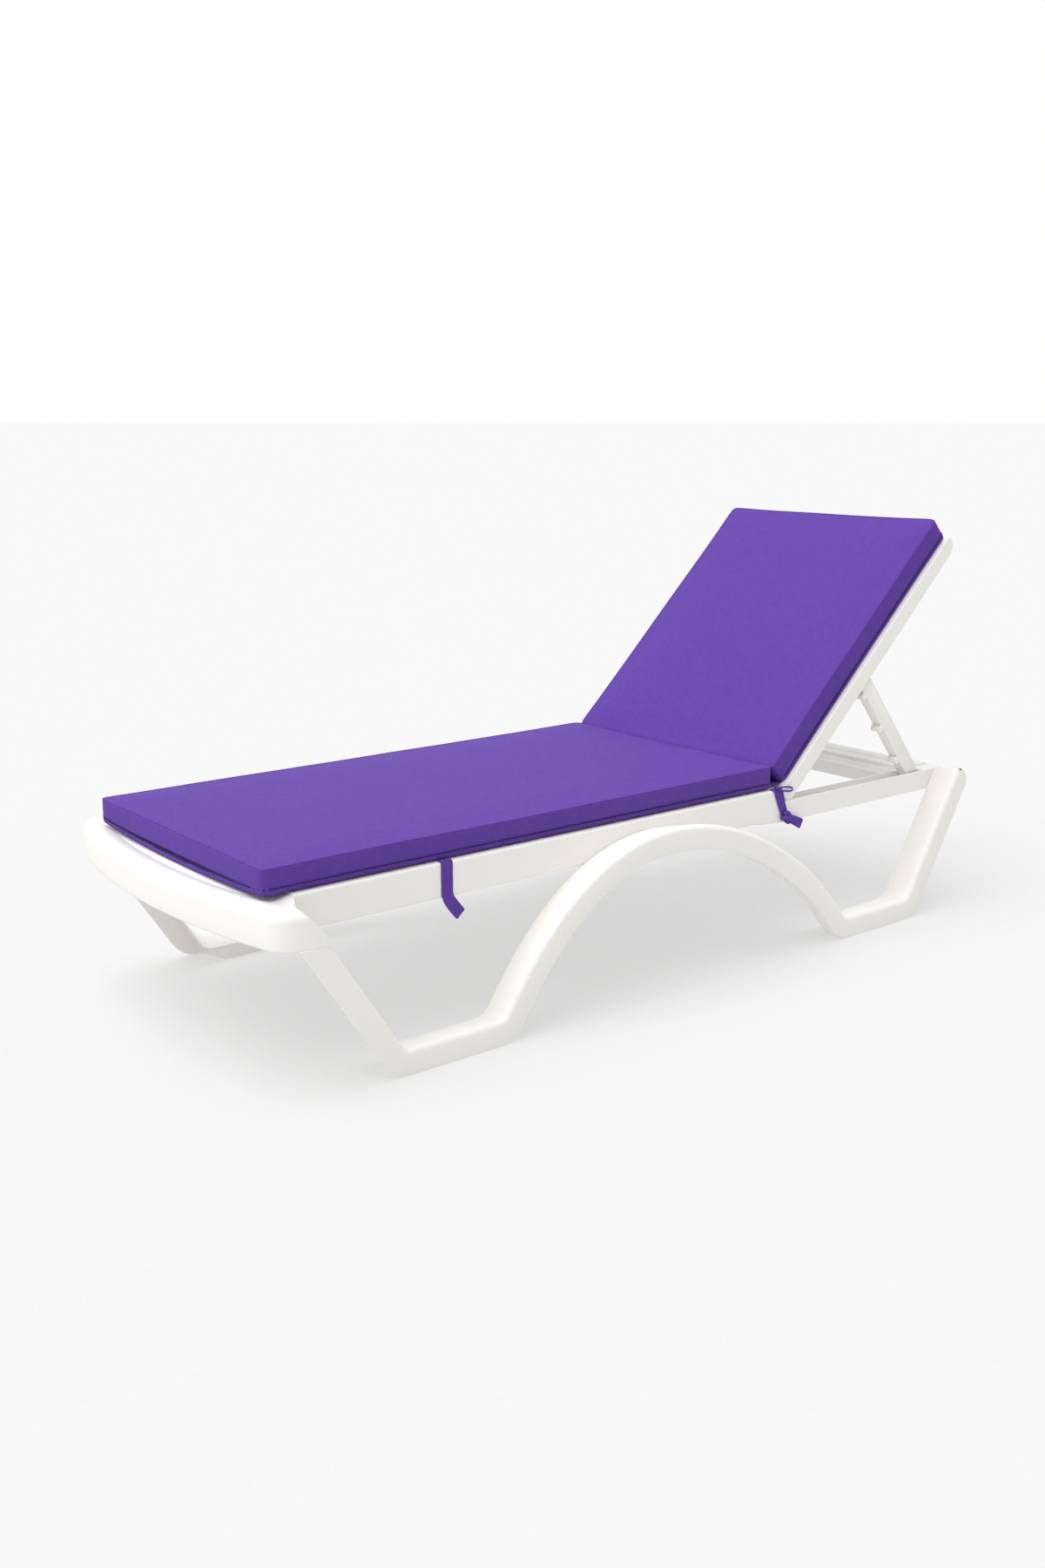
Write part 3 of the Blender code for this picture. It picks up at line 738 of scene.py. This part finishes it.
def ringAt(pad, piece, z, proud):
    """The pad's outline at rest height z, in order, as the swollen mesh has it, set out a little."""
    bm = padShell(pad)
    bm.verts.ensure_lookup_table()
    rim = [v for v in bm.verts if abs(v.co.z - z) < 1e-5 and any(
        abs(f.normal.z) < 0.5 for f in v.link_faces)]
    centre = Vector((pad["length"] / 2, 0, 0))
    rim.sort(key=lambda v: perimeterPlace(v.co - centre, pad))
    points = [piece.data.vertices[v.index].co.copy() for v in rim]
    bm.free()
    return [p + Vector(((p.x - centre.x) / pad["length"] * 2 * proud, p.y / pad["half"] * proud, 0))
            for p in points]


def perimeterPlace(offset, pad):
    """Orders points round the outline by angle, in a frame that makes it square."""
    return atan2(offset.y / pad["half"], offset.x / (pad["length"] / 2))


def tubeAlong(points, radius, sides=6, closed=True):
    """A thin tube along a closed or open run of points."""
    count = len(points)
    rings = []
    for i, p in enumerate(points):
        ahead = points[(i + 1) % count] if closed else points[min(i + 1, count - 1)]
        behind = points[i - 1] if closed else points[max(i - 1, 0)]
        along = (ahead - behind).normalized()
        up = Vector((0, 0, 1)) if abs(along.z) < 0.9 else Vector((1, 0, 0))
        across = along.cross(up).normalized()
        lift = across.cross(along)
        rings.append([p + across * radius * cos(2 * pi * k / sides)
                      + lift * radius * sin(2 * pi * k / sides) for k in range(sides)])
    if closed:
        rings.append(rings[0])
    bm = skinRings(rings, capped=not closed)
    bmesh.ops.remove_doubles(bm, verts=bm.verts, dist=1e-6)
    return bm


def makePad(name, pad, node, body, matrix):
    """A swollen pad with its edge, seam and hem strands, all riding one body."""
    bm = padShell(pad)
    bm.normal_update()
    piece = keepObject(name, bm, fabric, smooth=False)
    inflate(piece)
    shapePad(pad, piece)
    step = piece.modifiers.new("smooth", "SUBSURF")
    step.levels = 1
    step.render_levels = 1
    bakeModifiers(piece)
    rows = {"edge": (pad["thick"], 0.0011, 0.0004), "seam": (stuffing["seam"], 0.0008, 0.0010),
            "hem": (0.0, 0.0011, 0.0)}
    strands = []
    for row, (z, radius, proud) in rows.items():
        points = ringAt(pad, piece, z, proud)
        material = thread if row == "seam" else fabric
        strand = keepObject(f"{name}_{row}", tubeAlong(points, radius), material, matrix)
        strand.data.shade_smooth()
        strands.append(strand)
    piece.data.transform(matrix)
    piece.data.shade_smooth()
    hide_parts(node)
    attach(piece, body)
    for strand in strands:
        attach(strand, body)


seatMatrix = Matrix.Translation((alongX(0), 0, seatPad["base"]))
padMatrix = backMatrix @ Matrix.Translation((0.005, 0, backPad["base"]))
makePad("seat_pad", seatPad, "seat_cushion", "base", seatMatrix)
makePad("back_pad", backPad, "back_cushion", "backrest", padMatrix)

foldWeb = {"from": 1.1560, "to": 1.1950, "half": 0.290, "height": 0.3342, "thick": 0.0016,
           "droop": 0.0012, "steps": 8}


def fabricWeb(name):
    """The strip of cover that joins the two pads under the fold."""
    steps = foldWeb["steps"]
    span = foldWeb["to"] - foldWeb["from"]
    outline = [(alongX(foldWeb["from"] + span * k / steps),
                foldWeb["height"] - foldWeb["droop"] * sin(pi * k / steps))
               for k in range(steps + 1)]
    under = [(x, z - foldWeb["thick"]) for x, z in reversed(outline)]
    bm = prismY(outline + under, -foldWeb["half"], foldWeb["half"])
    piece = keepObject(name, bm, fabric)
    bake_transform(piece)


fabricWeb("fold_web")
print("cushions made")


# Ties: flat tapes over the rail, (station, half width, height) along their middles

tie = {"thick": 0.0016, "crown": 0.0006, "foldOver": (0.302, 0.319), "front": (0.0255, 0.0235),
       "hinge": (0.028, 0.019), "tail": (0.014, 0.023), "loopRadius": 0.0019,
       "knotAt": (1.1855, 0.3160, 0.2665), "knotSize": 0.0095, "knotFlat": 0.55,
       "knotTwist": 0.35, "knotRound": 0.52, "knotTurns": ((0.0, 0.5), (1.3, -0.6))}
tapeFront = [(0.345, 0.2960, 0.3268), (0.345, 0.3030, 0.3268), (0.345, 0.3066, 0.3262),
             (0.345, 0.3086, 0.3242), (0.345, 0.3094, 0.3200), (0.3452, 0.3095, 0.3120),
             (0.3448, 0.3094, 0.3030), (0.345, 0.3096, 0.2940), (0.3453, 0.3094, 0.2850),
             (0.345, 0.3095, 0.2760), (0.3448, 0.3097, 0.2690), (0.346, 0.3106, 0.2625),
             (0.3485, 0.3124, 0.2560), (0.353, 0.3142, 0.2490), (0.358, 0.3154, 0.2420),
             (0.3635, 0.3160, 0.2350), (0.369, 0.3160, 0.2290)]
tapeHinge = [(1.1600, 0.2960, 0.3268), (1.1615, 0.3030, 0.3268), (1.1630, 0.3066, 0.3262),
             (1.1645, 0.3088, 0.3240), (1.166, 0.3098, 0.3190), (1.169, 0.3102, 0.3110),
             (1.172, 0.3102, 0.3030), (1.175, 0.3102, 0.2950), (1.178, 0.3104, 0.2870),
             (1.181, 0.3108, 0.2790), (1.184, 0.3116, 0.2710)]
tapeTail = [(1.186, 0.3130, 0.2655), (1.194, 0.3150, 0.2630), (1.203, 0.3166, 0.2590),
            (1.216, 0.3176, 0.2530), (1.230, 0.3180, 0.2455)]
tapeLoop = [(1.156, 0.3085, 0.3292), (1.170, 0.3105, 0.3300), (1.184, 0.3112, 0.3292),
            (1.196, 0.3112, 0.3270), (1.204, 0.3112, 0.3236), (1.2055, 0.3112, 0.3205),
            (1.201, 0.3112, 0.3186), (1.191, 0.3115, 0.3192), (1.178, 0.3118, 0.3222),
            (1.165, 0.3112, 0.3246)]


def routePoints(route, side):
    return [Vector((alongX(s), side * y, z)) for s, y, z in route]


def tape(name, route, side, widths):
    """A flat tape along the route, width tapering between the two given."""
    points = routePoints(route, side)
    foldY, foldZ = tie["foldOver"]
    rings = []
    for i, p in enumerate(points):
        along = (points[min(i + 1, len(points) - 1)] - points[max(i - 1, 0)]).normalized()
        over = max(0.0, abs(p.y) - foldY)
        face = Vector((0, side * over, max(0.0, p.z - foldZ))).normalized()
        across = along.cross(face).normalized()
        out = across.cross(along).normalized() * -1
        width = widths[0] + (widths[1] - widths[0]) * i / (len(points) - 1)
        rings.append([p + across * (width * (k / 4 - 0.5))
                      + out * (tie["crown"] * cos(pi * (k / 4 - 0.5))) for k in range(5)])
    bm = bmesh.new()
    loops = [[bm.verts.new(p) for p in ring] for ring in rings]
    for low, high in zip(loops, loops[1:]):
        for k in range(4):
            bm.faces.new((low[k], low[k + 1], high[k + 1], high[k]))
    piece = keepObject(name, bm, fabric)
    for kind, settings in (("SOLIDIFY", {"thickness": tie["thick"], "offset": 0}),
                           ("SUBSURF", {"levels": 2, "render_levels": 2})):
        step = piece.modifiers.new(kind, kind)
        for key, value in settings.items():
            setattr(step, key, value)
    bakeModifiers(piece)
    piece.data.shade_smooth()
    return piece


def knot(name, side):
    """A small tied knot: two crossed loops of round tape."""
    size, flat, twist = tie["knotSize"], tie["knotFlat"], tie["knotTwist"]
    bm = bmesh.new()
    for turn, tilt in tie["knotTurns"]:
        turned = Matrix.Rotation(turn, 3, "Y") @ Matrix.Rotation(tilt, 3, "X")
        points = []
        for k in range(24):
            a = 2 * pi * k / 24
            points.append(turned @ Vector((size * cos(a), size * flat * sin(a),
                                           size * twist * sin(2 * a))))
        part = tubeAlong(points, size * tie["knotRound"], 10)
        mesh = bpy.data.meshes.new("part")
        part.to_mesh(mesh)
        part.free()
        bm.from_mesh(mesh)
    s, y, z = tie["knotAt"]
    bmesh.ops.translate(bm, vec=(alongX(s), side * y, z), verts=bm.verts)
    piece = keepObject(name, bm, fabric)
    piece.data.shade_smooth()
    return piece


for side, word in sides:
    front = tape(f"front_tape_{word}", tapeFront, side, tie["front"])
    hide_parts(f"front_tie_{word}")
    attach(front, "base")
    strap = tape(f"hinge_tape_{word}", tapeHinge, side, tie["hinge"])
    tail = tape(f"hinge_tail_{word}", tapeTail, side, tie["tail"])
    bundle = knot(f"hinge_knot_{word}", side)
    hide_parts(f"hinge_tie_{word}")
    loop = keepObject(f"hinge_loop_{word}",
                      tubeAlong(routePoints(tapeLoop, side), tie["loopRadius"], 8), fabric)
    for piece in (strap, tail, bundle, loop):
        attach(piece, "base")
print("ties made")


# Floor and light

stageSet = {"floor": 400.0, "albedo": 0.32, "glow": 0.485, "skyFront": 0.66, "skyBack": 1.0,
            "keyFrom": (-0.42, 0.0, 1.0), "keySpread": 55, "keyStrength": 2.0}

bm = bmesh.new()
bmesh.ops.create_grid(bm, x_segments=1, y_segments=1, size=stageSet["floor"])
floorMaterial = bpy.data.materials.new("floor")
floorMaterial.use_nodes = True
shader = floorMaterial.node_tree.nodes["Principled BSDF"]
shader.inputs["Base Color"].default_value = (stageSet["albedo"],) * 3 + (1,)
shader.inputs["Roughness"].default_value = 1.0
shader.inputs["Specular IOR Level"].default_value = 0.0
shader.inputs["Emission Color"].default_value = (1, 1, 1, 1)
shader.inputs["Emission Strength"].default_value = stageSet["glow"]
floor = keepObject("floor", bm, floorMaterial, smooth=False)

world = bpy.data.worlds.new("studio")
bpy.context.scene.world = world
world.use_nodes = True
sky = world.node_tree.nodes["Background"]
sky.inputs["Color"].default_value = (1, 1, 1, 1)
heading = addNode(world.node_tree, "ShaderNodeTexCoord")
parts = addNode(world.node_tree, "ShaderNodeSeparateXYZ",
                [("Vector", heading.outputs["Generated"])])
fade = addNode(world.node_tree, "ShaderNodeMapRange", [("Value", parts.outputs["Y"])],
               From_Min=-0.7, From_Max=0.5, To_Min=stageSet["skyFront"], To_Max=stageSet["skyBack"])
world.node_tree.links.new(fade.outputs[0], sky.inputs["Strength"])

keyData = bpy.data.lights.new("key", "SUN")
keyData.angle = radians(stageSet["keySpread"])
keyData.energy = stageSet["keyStrength"]
keyLight = bpy.data.objects.new("key", keyData)
keyLight.rotation_euler = Vector(stageSet["keyFrom"]).to_track_quat("Z", "Y").to_euler()
bpy.context.scene.collection.objects.link(keyLight)
bpy.context.scene.view_settings.view_transform = "Standard"
bpy.context.scene.view_settings.look = "None"
print("stage and lights made")
